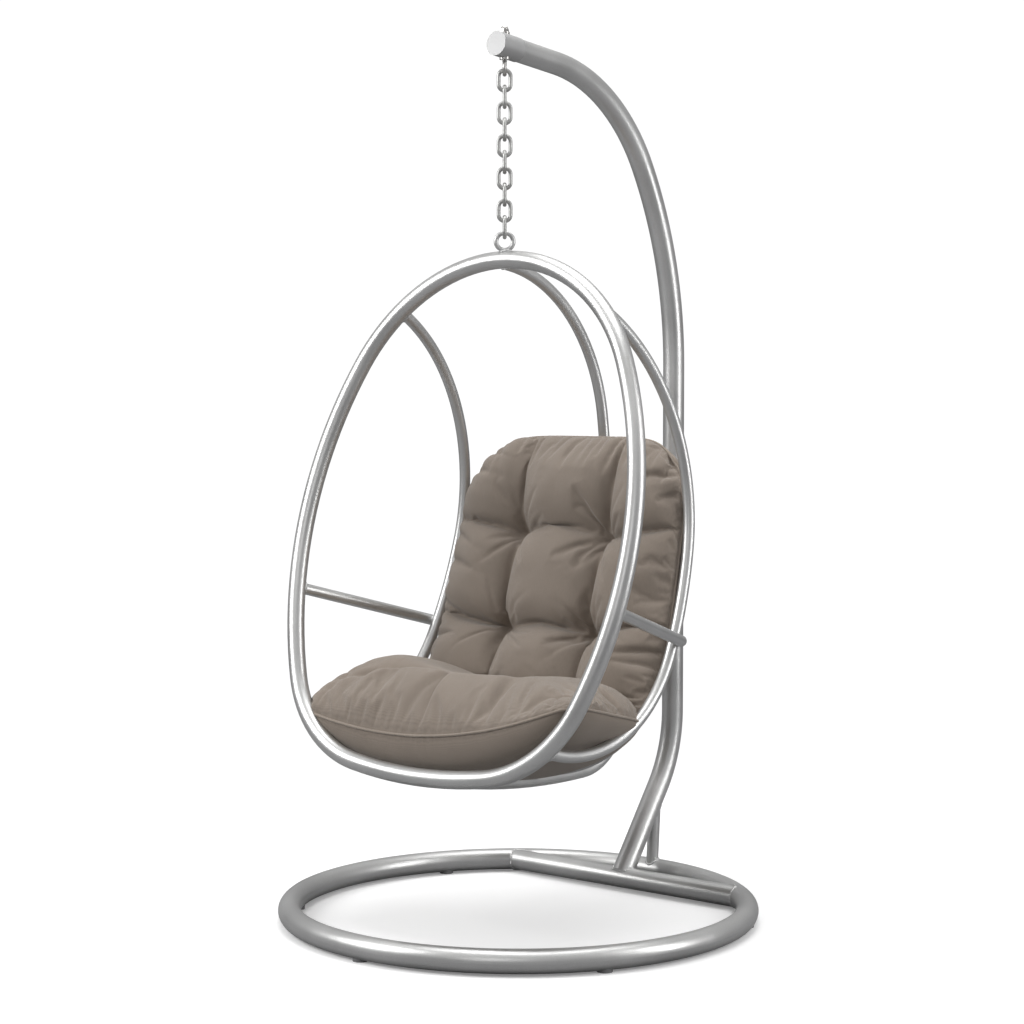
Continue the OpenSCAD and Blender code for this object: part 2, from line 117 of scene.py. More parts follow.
def makeStudio(s):
    mesh = bpy.data.meshes.new("studioFloor")
    h = s["floorSize"] / 2
    mesh.from_pydata([(-h, -h, 0), (h, -h, 0), (h, h, 0), (-h, h, 0)], [], [(0, 1, 2, 3)])
    floor = bpy.data.objects.new("studioFloor", mesh)
    bpy.context.scene.collection.objects.link(floor)
    mat = bpy.data.materials.new("studioFloor")
    mat.use_nodes = True
    tree = mat.node_tree
    shader = tree.nodes["Principled BSDF"]
    shader.inputs["Base Color"].default_value = s["floorColour"]
    shader.inputs["Roughness"].default_value = s["floorRoughness"]
    shader.inputs["Emission Color"].default_value = (1, 1, 1, 1)
    shader.inputs["Emission Strength"].default_value = s["floorLift"]
    # near the chair the floor takes its shadow, further out it turns into plain white paper
    glow = addNode(tree, "ShaderNodeEmission", {"Color": (1, 1, 1, 1), "Strength": s["paperStrength"]})
    felt = addNode(tree, "ShaderNodeBsdfDiffuse", {"Color": s["floorFelt"]})
    coords = addNode(tree, "ShaderNodeTexCoord")
    reach = addNode(tree, "ShaderNodeVectorMath", operation="LENGTH")
    fade = addNode(tree, "ShaderNodeMapRange", {"From Min": s["paperFrom"], "From Max": s["paperTo"]},
                   interpolation_type="SMOOTHSTEP")
    path = addNode(tree, "ShaderNodeLightPath")
    seen = addNode(tree, "ShaderNodeMixShader")
    both = addNode(tree, "ShaderNodeMixShader")
    tree.links.new(coords.outputs["Object"], reach.inputs[0])
    tree.links.new(reach.outputs["Value"], fade.inputs["Value"])
    tree.links.new(fade.outputs["Result"], seen.inputs["Fac"])
    tree.links.new(shader.outputs[0], seen.inputs[1])
    tree.links.new(glow.outputs[0], seen.inputs[2])
    tree.links.new(path.outputs["Is Camera Ray"], both.inputs["Fac"])
    tree.links.new(felt.outputs[0], both.inputs[1])
    tree.links.new(seen.outputs[0], both.inputs[2])
    tree.links.new(both.outputs[0], tree.nodes["Material Output"].inputs["Surface"])
    mesh.materials.append(mat)
    world = bpy.data.worlds.new("studioSky")
    world.use_nodes = True
    tree = world.node_tree
    room = tree.nodes["Background"]
    paper = tree.nodes.new("ShaderNodeBackground")
    paper.inputs["Color"].default_value = (1, 1, 1, 1)
    paper.inputs["Strength"].default_value = s["paperStrength"]
    # the paper behind is white, while the room that lights the chair is darker low down
    coords = tree.nodes.new("ShaderNodeTexCoord")
    split = tree.nodes.new("ShaderNodeSeparateXYZ")
    ramp = tree.nodes.new("ShaderNodeValToRGB")
    ramp.color_ramp.elements[0].position = s["roomSpan"][0]
    ramp.color_ramp.elements[0].color = s["roomLow"]
    ramp.color_ramp.elements[1].position = s["roomSpan"][1]
    ramp.color_ramp.elements[1].color = s["roomHigh"]
    lift = tree.nodes.new("ShaderNodeMapRange")
    lift.inputs["From Min"].default_value = -1
    tree.links.new(coords.outputs["Generated"], split.inputs[0])
    tree.links.new(split.outputs["Z"], lift.inputs["Value"])
    tree.links.new(lift.outputs["Result"], ramp.inputs["Fac"])
    tree.links.new(ramp.outputs["Color"], room.inputs["Color"])
    room.inputs["Strength"].default_value = s["skyStrength"]
    path = tree.nodes.new("ShaderNodeLightPath")
    mix = tree.nodes.new("ShaderNodeMixShader")
    tree.links.new(path.outputs["Is Camera Ray"], mix.inputs["Fac"])
    tree.links.new(room.outputs[0], mix.inputs[1])
    tree.links.new(paper.outputs[0], mix.inputs[2])
    tree.links.new(mix.outputs[0], tree.nodes["World Output"].inputs["Surface"])
    bpy.context.scene.world = world
    bpy.context.scene.view_settings.view_transform = "Standard"
    for box in s["boxes"]:
        makeSoftbox(*box)


makeCamera(camera)
makeStudio(studio)
print("camera and studio ready")


def newGroup(name, inputs, outputs):
    group = bpy.data.node_groups.new(name, "ShaderNodeTree")
    for label, kind, value in inputs:
        socket = group.interface.new_socket(label, in_out="INPUT", socket_type=kind)
        if value is not None:
            socket.default_value = value
    for label, kind in outputs:
        group.interface.new_socket(label, in_out="OUTPUT", socket_type=kind)
    return group, group.nodes.new("NodeGroupInput"), group.nodes.new("NodeGroupOutput")


def mottleGroup():
    # fine grain of a sprayed metallic coat, with a slow drift in tone
    g, gin, gout = newGroup(
        "coatMottle",
        [("Vector", "NodeSocketVector", None), ("Grain Scale", "NodeSocketFloat", 900.0),
         ("Tone", "NodeSocketFloat", 0.08), ("Light", "NodeSocketColor", (0.7, 0.7, 0.7, 1)),
         ("Dark", "NodeSocketColor", (0.5, 0.5, 0.5, 1))],
        [("Colour", "NodeSocketColor"), ("Height", "NodeSocketFloat"), ("Patch", "NodeSocketFloat")])
    links = g.links.new
    grain = addNode(g, "ShaderNodeTexNoise", {"Detail": 2.0, "Roughness": 0.6})
    cells = addNode(g, "ShaderNodeTexVoronoi", {"Randomness": 1.0})
    half = addNode(g, "ShaderNodeMath", {1: 0.45}, operation="MULTIPLY")
    drift = addNode(g, "ShaderNodeTexNoise", {"Scale": 7.0, "Detail": 3.0})
    links(gin.outputs["Vector"], grain.inputs["Vector"])
    links(gin.outputs["Vector"], cells.inputs["Vector"])
    links(gin.outputs["Vector"], drift.inputs["Vector"])
    links(gin.outputs["Grain Scale"], grain.inputs["Scale"])
    links(gin.outputs["Grain Scale"], half.inputs[0])
    links(half.outputs[0], cells.inputs["Scale"])
    mixHeight = addNode(g, "ShaderNodeMath", operation="MULTIPLY_ADD")
    mixHeight.inputs[1].default_value = 0.5
    links(cells.outputs["Distance"], mixHeight.inputs[0])
    links(grain.outputs["Fac"], mixHeight.inputs[2])
    tone = addNode(g, "ShaderNodeMath", operation="MULTIPLY_ADD")
    centred = addNode(g, "ShaderNodeMath", {1: 0.5}, operation="SUBTRACT")
    links(mixHeight.outputs[0], centred.inputs[0])
    links(centred.outputs[0], tone.inputs[0])
    links(gin.outputs["Tone"], tone.inputs[1])
    links(drift.outputs["Fac"], tone.inputs[2])
    colour = addNode(g, "ShaderNodeMix", data_type="RGBA")
    links(tone.outputs[0], colour.inputs["Factor"])
    links(gin.outputs["Dark"], colour.inputs["A"])
    links(gin.outputs["Light"], colour.inputs["B"])
    links(colour.outputs["Result"], gout.inputs["Colour"])
    links(mixHeight.outputs[0], gout.inputs["Height"])
    links(drift.outputs["Fac"], gout.inputs["Patch"])
    return g


def weaveGroup():
    # plain weave from two crossed waves on the cloth's own UV, in metres, with slubs in the yarn; its
    # colour carries painted shade between the yarns
    g, gin, gout = newGroup(
        "plainWeave",
        [("Vector", "NodeSocketVector", None), ("Yarns per Metre", "NodeSocketFloat", 900.0),
         ("Slub", "NodeSocketFloat", 0.5), ("Light", "NodeSocketColor", (0.3, 0.26, 0.22, 1)),
         ("Dark", "NodeSocketColor", (0.2, 0.17, 0.14, 1))],
        [("Colour", "NodeSocketColor"), ("Height", "NodeSocketFloat"), ("Fade", "NodeSocketFloat")])
    links = g.links.new
    scaled = addNode(g, "ShaderNodeVectorMath", operation="SCALE")
    links(gin.outputs["Vector"], scaled.inputs[0])
    links(gin.outputs["Yarns per Metre"], scaled.inputs["Scale"])
    wobble = addNode(g, "ShaderNodeTexNoise", {"Scale": 60.0, "Detail": 2.0})
    links(gin.outputs["Vector"], wobble.inputs["Vector"])
    wobbled = addNode(g, "ShaderNodeVectorMath", operation="MULTIPLY_ADD")
    wobbled.inputs[1].default_value = (1.6, 1.6, 0)
    links(wobble.outputs["Color"], wobbled.inputs[0])
    links(scaled.outputs[0], wobbled.inputs[2])
    split = addNode(g, "ShaderNodeSeparateXYZ")
    links(wobbled.outputs[0], split.inputs[0])

    def wave(source, operation):
        turn = addNode(g, "ShaderNodeMath", {1: math.pi}, operation="MULTIPLY")
        links(source, turn.inputs[0])
        out = addNode(g, "ShaderNodeMath", operation=operation)
        links(turn.outputs[0], out.inputs[0])
        return out.outputs[0]

    def combine(a, b, operation):
        node = addNode(g, "ShaderNodeMath", operation=operation)
        links(a, node.inputs[0])
        links(b, node.inputs[1])
        return node.outputs[0]

    def absolute(a):
        node = addNode(g, "ShaderNodeMath", operation="ABSOLUTE")
        links(a, node.inputs[0])
        return node.outputs[0]

    warp = absolute(wave(split.outputs["X"], "SINE"))
    weft = absolute(wave(split.outputs["Y"], "SINE"))
    over = combine(wave(split.outputs["X"], "COSINE"), wave(split.outputs["Y"], "COSINE"), "MULTIPLY")
    picked = addNode(g, "ShaderNodeMix", data_type="FLOAT")
    step = addNode(g, "ShaderNodeMath", {1: 0.0}, operation="GREATER_THAN")
    links(over, step.inputs[0])
    links(step.outputs[0], picked.inputs["Factor"])
    links(warp, picked.inputs["A"])
    links(weft, picked.inputs["B"])
    slubs = addNode(g, "ShaderNodeTexNoise", {"Scale": 420.0, "Detail": 3.0, "Roughness": 0.7})
    stretch = addNode(g, "ShaderNodeVectorMath", operation="MULTIPLY")
    stretch.inputs[1].default_value = (1.0, 0.22, 1.0)
    links(gin.outputs["Vector"], stretch.inputs[0])
    links(stretch.outputs[0], slubs.inputs["Vector"])
    height = addNode(g, "ShaderNodeMath", operation="MULTIPLY_ADD")
    links(slubs.outputs["Fac"], height.inputs[0])
    links(gin.outputs["Slub"], height.inputs[1])
    links(picked.outputs["Result"], height.inputs[2])
    fade = addNode(g, "ShaderNodeTexNoise", {"Scale": 9.0, "Detail": 4.0, "Roughness": 0.6})
    links(gin.outputs["Vector"], fade.inputs["Vector"])
    # the weave's height also sets the colour: painted shade in the hollows between yarns, painted
    # highlight on the yarn crowns and slubs; the slow fade noise is the cloth's own tone
    tone = addNode(g, "ShaderNodeMath", {1: 0.45}, operation="MULTIPLY")
    links(height.outputs[0], tone.inputs[0])
    drift = addNode(g, "ShaderNodeMath", operation="MULTIPLY_ADD")
    drift.inputs[1].default_value = 0.5
    links(fade.outputs["Fac"], drift.inputs[0])
    links(tone.outputs[0], drift.inputs[2])
    colour = addNode(g, "ShaderNodeMix", data_type="RGBA")
    links(drift.outputs[0], colour.inputs["Factor"])
    links(gin.outputs["Dark"], colour.inputs["A"])
    links(gin.outputs["Light"], colour.inputs["B"])
    links(colour.outputs["Result"], gout.inputs["Colour"])
    links(height.outputs[0], gout.inputs["Height"])
    links(fade.outputs["Fac"], gout.inputs["Fade"])
    return g


coatMottle = mottleGroup()
plainWeave = weaveGroup()


def baseMaterial(name):
    mat = bpy.data.materials.new(name)
    mat.use_nodes = True
    return mat, mat.node_tree, mat.node_tree.nodes["Principled BSDF"]


def placeGroup(tree, group, values, source):
    node = tree.nodes.new("ShaderNodeGroup")
    node.node_tree = group
    for key, value in values.items():
        node.inputs[key].default_value = value
    tree.links.new(source, node.inputs["Vector"])
    return node


def bumpFrom(tree, shader, height, strength, distance):
    bump = addNode(tree, "ShaderNodeBump", {"Strength": strength, "Distance": distance})
    tree.links.new(height, bump.inputs["Height"])
    tree.links.new(bump.outputs["Normal"], shader.inputs["Normal"])


def metalMaterial(name, look):
    mat, tree, shader = baseMaterial(name)
    coords = addNode(tree, "ShaderNodeTexCoord")
    mottle = placeGroup(tree, coatMottle, {
        "Grain Scale": look["grain"], "Tone": look["tone"],
        "Light": look["light"], "Dark": look["dark"]}, coords.outputs["Object"])
    tree.links.new(mottle.outputs["Colour"], shader.inputs["Base Color"])
    rough = addNode(tree, "ShaderNodeMapRange", {
        "From Min": 0.3, "From Max": 0.7, "To Min": look["rough"][0], "To Max": look["rough"][1]})
    tree.links.new(mottle.outputs["Patch"], rough.inputs["Value"])
    tree.links.new(rough.outputs["Result"], shader.inputs["Roughness"])
    shader.inputs["Metallic"].default_value = look["metallic"]
    bumpFrom(tree, shader, mottle.outputs["Height"], look["bump"], metalBumpDepth)
    return mat


def fabricMaterial(name, look):
    mat, tree, shader = baseMaterial(name)
    coords = addNode(tree, "ShaderNodeTexCoord")
    weave = placeGroup(tree, plainWeave, {
        "Yarns per Metre": look["yarns"], "Slub": look["slub"],
        "Light": look["light"], "Dark": look["dark"]}, coords.outputs[look["coords"]])
    tree.links.new(weave.outputs["Colour"], shader.inputs["Base Color"])
    rough = addNode(tree, "ShaderNodeMapRange", {"To Min": cloth["rough"][0], "To Max": cloth["rough"][1]})
    tree.links.new(weave.outputs["Fade"], rough.inputs["Value"])
    tree.links.new(rough.outputs["Result"], shader.inputs["Roughness"])
    shader.inputs["Sheen Weight"].default_value = cloth["sheen"]
    shader.inputs["Sheen Roughness"].default_value = cloth["sheenRough"]
    shader.inputs["Specular IOR Level"].default_value = cloth["specular"]
    bumpFrom(tree, shader, weave.outputs["Height"], look["bump"], cloth["bumpDepth"])
    return mat


def plasticMaterial(name, look):
    mat, tree, shader = baseMaterial(name)
    coords = addNode(tree, "ShaderNodeTexCoord")
    dark = tuple(look["shade"] * c for c in look["colour"][:3]) + (1,)
    mottle = placeGroup(tree, coatMottle, {
        "Grain Scale": look["grain"], "Tone": look["tone"],
        "Light": look["colour"], "Dark": dark}, coords.outputs["Object"])
    tree.links.new(mottle.outputs["Colour"], shader.inputs["Base Color"])
    shader.inputs["Roughness"].default_value = look["rough"]
    bumpFrom(tree, shader, mottle.outputs["Height"], look["bump"], look["bumpDepth"])
    return mat


metals = {
    "silverTube": {
        "grain": 750.0, "tone": 0.45, "bump": 0.12, "rough": (0.33, 0.42), "metallic": 0.88,
        "light": (0.66, 0.66, 0.653, 1), "dark": (0.48, 0.48, 0.475, 1)},
    "capSilver": {
        "grain": 900.0, "tone": 0.25, "bump": 0.12, "rough": (0.5, 0.58), "metallic": 0.5,
        "light": (0.46, 0.46, 0.46, 1), "dark": (0.38, 0.38, 0.38, 1)},
    "platedSteel": {
        "grain": 500.0, "tone": 0.4, "bump": 0.2, "rough": (0.28, 0.42), "metallic": 0.9,
        "light": (0.62, 0.61, 0.59, 1), "dark": (0.42, 0.41, 0.40, 1)},
    "chainZinc": {
        "grain": 420.0, "tone": 0.6, "bump": 0.3, "rough": (0.3, 0.5), "metallic": 0.9,
        "light": (0.58, 0.58, 0.57, 1), "dark": (0.30, 0.30, 0.29, 1)},
}
fabrics = {
    "cushionCanvas": {
        "yarns": 850.0, "slub": 0.8, "bump": 0.5, "coords": "UV",
        "light": (0.285, 0.238, 0.197, 1), "dark": (0.150, 0.122, 0.099, 1)},
    "pipingCanvas": {
        "yarns": 850.0, "slub": 0.8, "bump": 0.4, "coords": "Object",
        "light": (0.33, 0.278, 0.232, 1), "dark": (0.19, 0.158, 0.130, 1)},
}
cloth = {"rough": (0.82, 0.95), "sheen": 0.25, "sheenRough": 0.5, "specular": 0.25, "bumpDepth": 0.0006}
plastic = {"colour": (0.22, 0.22, 0.222, 1), "shade": 0.6, "grain": 1500.0, "tone": 0.4,
           "rough": 0.6, "bump": 0.3, "bumpDepth": 0.0003}
metalBumpDepth = 0.0004
mats = {name: metalMaterial(name, look) for name, look in metals.items()}
mats.update({name: fabricMaterial(name, look) for name, look in fabrics.items()})
mats["glidePlastic"] = plasticMaterial("glidePlastic", plastic)
print("materials ready:", len(mats))


metalOf = {
    "crook_cap": "capSilver", "eye_bolt": "platedSteel", "dome_nut": "platedSteel",
    "washer_upper": "platedSteel", "washer_lower": "platedSteel",
    "post_bolt_1": "platedSteel", "post_bolt_2": "platedSteel",
}


def finishFor(name):
    if name.startswith("glide"):
        return "glidePlastic"
    if name.startswith("link"):
        return "chainZinc"
    return metalOf.get(name, "silverTube")


softNodes = ("seat_cushion", "back_cushion")
for nodeName, obj in nodes.items():
    if nodeName in softNodes:
        continue
    obj.data.materials.clear()
    obj.data.materials.append(mats[finishFor(nodeName)])
print("metal parts finished")


def newPiece(name, mesh, material):
    obj = bpy.data.objects.new(name, mesh)
    bpy.context.scene.collection.objects.link(obj)
    mesh.materials.clear()
    mesh.materials.append(mats[material])
    mesh.polygons.foreach_set("use_smooth", [True] * len(mesh.polygons))
    return obj


def treeOf(*objects):
    verts, faces = [], []
    for obj in objects:
        start = len(verts)
        verts += [v.co.copy() for v in obj.data.vertices]
        faces += [[start + i for i in p.vertices] for p in obj.data.polygons]
    return BVHTree.FromPolygons(verts, faces)


def points(mesh):
    co = np.zeros(len(mesh.vertices) * 3)
    mesh.vertices.foreach_get("co", co)
    return co.reshape(-1, 3)


def setPoints(mesh, co):
    mesh.vertices.foreach_set("co", co.astype(np.float32).ravel())
    mesh.update()


def smoothStep(low, high, x):
    t = np.clip((x - low) / (high - low), 0, 1)
    return t * t * (3 - 2 * t)


def noiseAt(coords, seed):
    return np.array([noise.noise((float(p), float(q), float(r) + seed)) for p, q, r in coords])


def squareToCushion(a, b, half, round_):
    # a square of -1..1 pulled into a cushion's outline with rounded corners
    return half[0] * a * (1 - round_ * np.abs(b) ** 6), half[1] * b * (1 - round_ * np.abs(a) ** 6)


def pillowMesh(name, look, middle, front, rear):
    # Two skins of one grid that meet at a shared rim. middle gives a point for a place on the
    # outline, front and rear give how far each skin stands off it.
    cols, rows = look["grid"]
    alpha = np.linspace(-1, 1, cols + 1)
    beta = np.linspace(-1, 1, rows + 1)
    ease = look["ease"]
    a1 = (1 - ease) * alpha + ease * np.sin(alpha * math.pi / 2)
    b1 = (1 - ease) * beta + ease * np.sin(beta * math.pi / 2)
    a, b = [m.ravel() for m in np.meshgrid(a1, b1, indexing="ij")]
    place = middle(a, b)
    step = 1e-4
    da = middle(a + step, b) - place
    db = middle(a, b + step) - place
    normal = np.cross(da, db)
    normal /= np.linalg.norm(normal, axis=1)[:, None]
    top = place + normal * front(a, b, place)[:, None]
    low = place - normal * rear(a, b, place)[:, None]
    index = np.arange(len(a)).reshape(cols + 1, rows + 1)
    under = index.copy()
    inner = index[1:-1, 1:-1]
    under[1:-1, 1:-1] = len(a) + np.arange(inner.size).reshape(inner.shape)
    verts = np.vstack([top, low[inner.ravel()]])
    faces = []
    for i in range(cols):
        for j in range(rows):
            faces.append((index[i, j], index[i + 1, j], index[i + 1, j + 1], index[i, j + 1]))
            faces.append((under[i, j], under[i, j + 1], under[i + 1, j + 1], under[i + 1, j]))
    mesh = bpy.data.meshes.new(name)
    mesh.from_pydata([tuple(v) for v in verts], [], [tuple(int(k) for k in f) for f in faces])
    flat = np.zeros((len(verts), 2))
    flat[:, 0] = np.concatenate([a, a[inner.ravel()]]) * look["half"][0]
    flat[:, 1] = np.concatenate([b, b[inner.ravel()]]) * look["half"][1]
    corner = np.zeros(len(mesh.loops), dtype=np.int32)
    mesh.loops.foreach_get("vertex_index", corner)
    mesh.uv_layers.new(name="cloth").data.foreach_set("uv", flat[corner].astype(np.float32).ravel())
    rim = [int(k) for k in list(index[:-1, 0]) + list(index[-1, :-1])
           + list(index[:0:-1, -1]) + list(index[0, :0:-1])]
    return mesh, rim, len(a)


def edgeRoll(a, b, power):
    return np.sqrt(np.clip((1 - np.abs(a) ** power) * (1 - np.abs(b) ** power), 0, 1))


def ridged(coords, seed, narrow=3.2):
    # 1 along narrow winding lines, 0 between them
    return np.clip(1 - np.abs(noiseAt(coords, seed)) * narrow, 0, 1) ** 2


coverSim = {
    "quality": 5, "mass": 0.3, "stiffness": 14, "bending": 0.35, "pressure": 4.0,
    "shrink": -0.06, "frames": 18,
    "cap": 0.022,             # metres that a point may move
}


def simulateCloth(obj, hold, sim):
    # blows the cover up against its held seams, then keeps each point near where it started
    scene = bpy.context.scene
    start = points(obj.data)
    group = obj.vertex_groups.new(name="hold")
    for level in range(1, 11):
        picked = np.nonzero(np.round(hold * 10).astype(int) == level)[0]
        if len(picked):
            group.add([int(k) for k in picked], level / 10, "REPLACE")
    cover = obj.modifiers.new("cloth", "CLOTH")
    use = cover.settings
    use.quality = sim["quality"]
    use.mass = sim["mass"]
    use.tension_stiffness = use.compression_stiffness = sim["stiffness"]
    use.shear_stiffness = sim["stiffness"] / 3
    use.bending_stiffness = sim["bending"]
    use.use_pressure = True
    use.uniform_pressure_force = sim["pressure"]
    use.shrink_min = sim["shrink"]
    use.vertex_group_mass = "hold"
    use.pin_stiffness = 1.0
    use.effector_weights.gravity = 0
    cover.collision_settings.use_collision = False
    cover.collision_settings.use_self_collision = False
    cover.point_cache.frame_start = 1
    cover.point_cache.frame_end = sim["frames"]
    for step in range(1, sim["frames"] + 1):
        scene.frame_set(step)
    depsgraph = bpy.context.evaluated_depsgraph_get()
    blown = obj.evaluated_get(depsgraph).to_mesh()
    end = points(blown)
    obj.evaluated_get(depsgraph).to_mesh_clear()
    obj.modifiers.remove(cover)
    obj.vertex_groups.clear()
    scene.frame_set(1)
    move = end - start
    length = np.linalg.norm(move, axis=1)
    move *= np.minimum(1, sim["cap"] / np.maximum(length, 1e-9))[:, None]
    setPoints(obj.data, start + move)
    return float(length.max())


def keepClear(obj, tree, gap, reach=0.06):
    # pushes the points that lie in or too near the neighbours back out to the gap
    co = points(obj.data)
    moved = 0
    for k, v in enumerate(co):
        spot, normal, _, distance = tree.find_nearest(Vector(v), reach)
        if spot is None:
            continue
        inside = (Vector(v) - spot).dot(normal) < 0
        if inside or distance < gap:
            co[k] = spot + normal * gap
            moved += 1
    setPoints(obj.data, co)
    return moved


def subdivide(obj, levels=1):
    modifier = obj.modifiers.new("fine", "SUBSURF")
    modifier.levels = modifier.render_levels = levels
    modifier.uv_smooth = "PRESERVE_BOUNDARIES"
    fine = bpy.data.meshes.new_from_object(obj.evaluated_get(bpy.context.evaluated_depsgraph_get()))
    obj.modifiers.remove(modifier)
    old = obj.data
    fine.name = old.name + ".fine"
    obj.data = fine
    bpy.data.meshes.remove(old)


def sweepTree(name):
    # sweeps a cord along drawn lines; ripple makes the scales of a weld bead, 0 leaves it plain
    tree = bpy.data.node_groups.new(name, "GeometryNodeTree")
    face = tree.interface.new_socket
    face("Geometry", in_out="INPUT", socket_type="NodeSocketGeometry")
    for label, value in (("Radius", 0.003), ("Ripple", 0.0), ("Ripple Pitch", 0.003), ("Step", 0.002)):
        face(label, in_out="INPUT", socket_type="NodeSocketFloat").default_value = value
    face("Seed", in_out="INPUT", socket_type="NodeSocketInt").default_value = 1
    face("Material", in_out="INPUT", socket_type="NodeSocketMaterial")
    face("Geometry", in_out="OUTPUT", socket_type="NodeSocketGeometry")
    gin, gout = tree.nodes.new("NodeGroupInput"), tree.nodes.new("NodeGroupOutput")
    links = tree.links.new
    toCurve = addNode(tree, "GeometryNodeMeshToCurve")
    resample = addNode(tree, "GeometryNodeResampleCurve")
    if "Mode" in resample.inputs:
        resample.inputs["Mode"].default_value = "Length"
    else:
        resample.mode = "LENGTH"
    along = addNode(tree, "GeometryNodeSplineParameter")
    turns = addNode(tree, "ShaderNodeMath", operation="DIVIDE")
    turn = addNode(tree, "ShaderNodeMath", {1: 2 * math.pi}, operation="MULTIPLY")
    wave = addNode(tree, "ShaderNodeMath", operation="SINE")
    chance = addNode(tree, "FunctionNodeRandomValue", data_type="FLOAT")
    sway = addNode(tree, "ShaderNodeMath", {1: 0.8}, operation="MULTIPLY_ADD")
    swell = addNode(tree, "ShaderNodeMath", {2: 1.0}, operation="MULTIPLY_ADD")
    sized = addNode(tree, "GeometryNodeSetCurveRadius")
    ring = addNode(tree, "GeometryNodeCurvePrimitiveCircle", {"Resolution": 10})
    sweep = addNode(tree, "GeometryNodeCurveToMesh")
    shade = addNode(tree, "GeometryNodeSetShadeSmooth")
    real = addNode(tree, "GeometryNodeRealizeInstances")
    paint = addNode(tree, "GeometryNodeSetMaterial")
    links(gin.outputs["Geometry"], toCurve.inputs["Mesh"])
    links(toCurve.outputs["Curve"], resample.inputs["Curve"])
    links(gin.outputs["Step"], resample.inputs["Length"])
    links(along.outputs["Length"], turns.inputs[0])
    links(gin.outputs["Ripple Pitch"], turns.inputs[1])
    links(turns.outputs[0], turn.inputs[0])
    links(turn.outputs[0], wave.inputs[0])
    links(gin.outputs["Seed"], chance.inputs["Seed"])
    links(chance.outputs[1], sway.inputs[0])
    links(wave.outputs[0], sway.inputs[2])
    links(sway.outputs[0], swell.inputs[0])
    links(gin.outputs["Ripple"], swell.inputs[1])
    links(resample.outputs["Curve"], sized.inputs["Curve"])
    links(swell.outputs[0], sized.inputs["Radius"])
    links(gin.outputs["Radius"], ring.inputs["Radius"])
    links(sized.outputs["Curve"], sweep.inputs["Curve"])
    links(ring.outputs["Curve"], sweep.inputs["Profile Curve"])
    if "Scale" in sweep.inputs:
        links(swell.outputs[0], sweep.inputs["Scale"])
    links(sweep.outputs["Mesh"], shade.inputs[0])
    links(shade.outputs[0], real.inputs[0])
    links(real.outputs[0], paint.inputs["Geometry"])
    links(gin.outputs["Material"], paint.inputs["Material"])
    links(paint.outputs["Geometry"], gout.inputs["Geometry"])
    return tree


cordSweep = sweepTree("cordSweep")


def sweepAlong(name, loops, material, settings):
    # loops: closed lists of points; gives one plain mesh with a cord along each
    verts, edges = [], []
    for loop in loops:
        start, count = len(verts), len(loop)
        verts += [tuple(p) for p in loop]
        edges += [(start + k, start + (k + 1) % count) for k in range(count)]
    line = bpy.data.meshes.new(name + "Line")
    line.from_pydata(verts, edges, [])
    obj = bpy.data.objects.new(name, line)
    bpy.context.scene.collection.objects.link(obj)
    modifier = obj.modifiers.new("sweep", "NODES")
    modifier.node_group = cordSweep
    items = cordSweep.interface.items_tree
    sockets = {item.name: item.identifier for item in items if item.in_out == "INPUT"}
    for label, value in settings.items():
        modifier[sockets[label]] = value
    modifier[sockets["Material"]] = mats[material]
    obj.update_tag()
    depsgraph = bpy.context.evaluated_depsgraph_get()
    plain = bpy.data.meshes.new_from_object(obj.evaluated_get(depsgraph), depsgraph=depsgraph)
    obj.modifiers.clear()
    obj.data = plain
    bpy.data.meshes.remove(line)
    return obj


def weldLoops(child, parent, look):
    # the outer edge of the child's coped ends, where they lie on the parent's wall
    tree = treeOf(nodes[parent])
    spots = []
    for v in nodes[child].data.vertices:
        hit = tree.find_nearest(v.co, look["near"])
        if hit[0] is not None:
            spots.append(np.array(v.co))
    loops = []
    while spots:
        away = [np.linalg.norm(s - spots[0]) for s in spots]
        group = [s for s, far in zip(spots, away) if far < look["apart"]]
        spots = [s for s, far in zip(spots, away) if far >= look["apart"]]
        if len(group) < look["fewest"]:
            continue
        pts = np.array(group)
        middle = (pts.max(axis=0) + pts.min(axis=0)) / 2
        _, _, axes = np.linalg.svd(pts - pts.mean(axis=0), full_matrices=False)
        flat = (pts - middle) @ axes[:2].T
        angle, size = np.arctan2(flat[:, 1], flat[:, 0]), np.hypot(flat[:, 0], flat[:, 1])
        loop, bins = [], look["bins"]
        for k in range(bins):
            low = -math.pi + 2 * math.pi * k / bins
            inside = np.nonzero((angle >= low) & (angle < low + 2 * math.pi / bins))[0]
            if len(inside):
                loop.append(pts[inside[np.argmax(size[inside])]])
        if len(loop) > bins / 2:
            loops.append(loop)
    return loops


welds = {
    "near": 0.0004,           # how close to the wall a point of the joint lies
    "apart": 0.07,            # two ends of one tube are further apart than this
    "fewest": 12,             # points that make a joint
    "bins": 28,
    "sweep": {"Radius": 0.0026, "Ripple": 0.16, "Ripple Pitch": 0.0034, "Step": 0.0009, "Seed": 4},
    "stand": (("cross_tube", "base_ring"), ("post_lower", "cross_tube"), ("post_brace", "post_lower"),
              ("post_brace", "base_ring")),
    "pod": (("side_hoop_left", "front_hoop"), ("side_hoop_right", "front_hoop"),
            ("centre_rib", "front_hoop"), ("arm_left", "front_hoop"), ("arm_right", "front_hoop"),
            ("arm_left", "side_hoop_left"), ("arm_right", "side_hoop_right"),
            ("rail_upper", "side_hoop_left"), ("rail_upper", "side_hoop_right"),
            ("rail_lower", "side_hoop_left"), ("rail_lower", "side_hoop_right"),
            ("pod_eye", "front_hoop")),
}
for body in ("stand", "pod"):
    loops = []
    for child, parent in welds[body]:
        found = weldLoops(child, parent, welds)
        print("weld", child, parent, len(found))
        loops += found
    bead = sweepAlong(body + "Welds", loops, "silverTube", welds["sweep"])
    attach(bead, body)


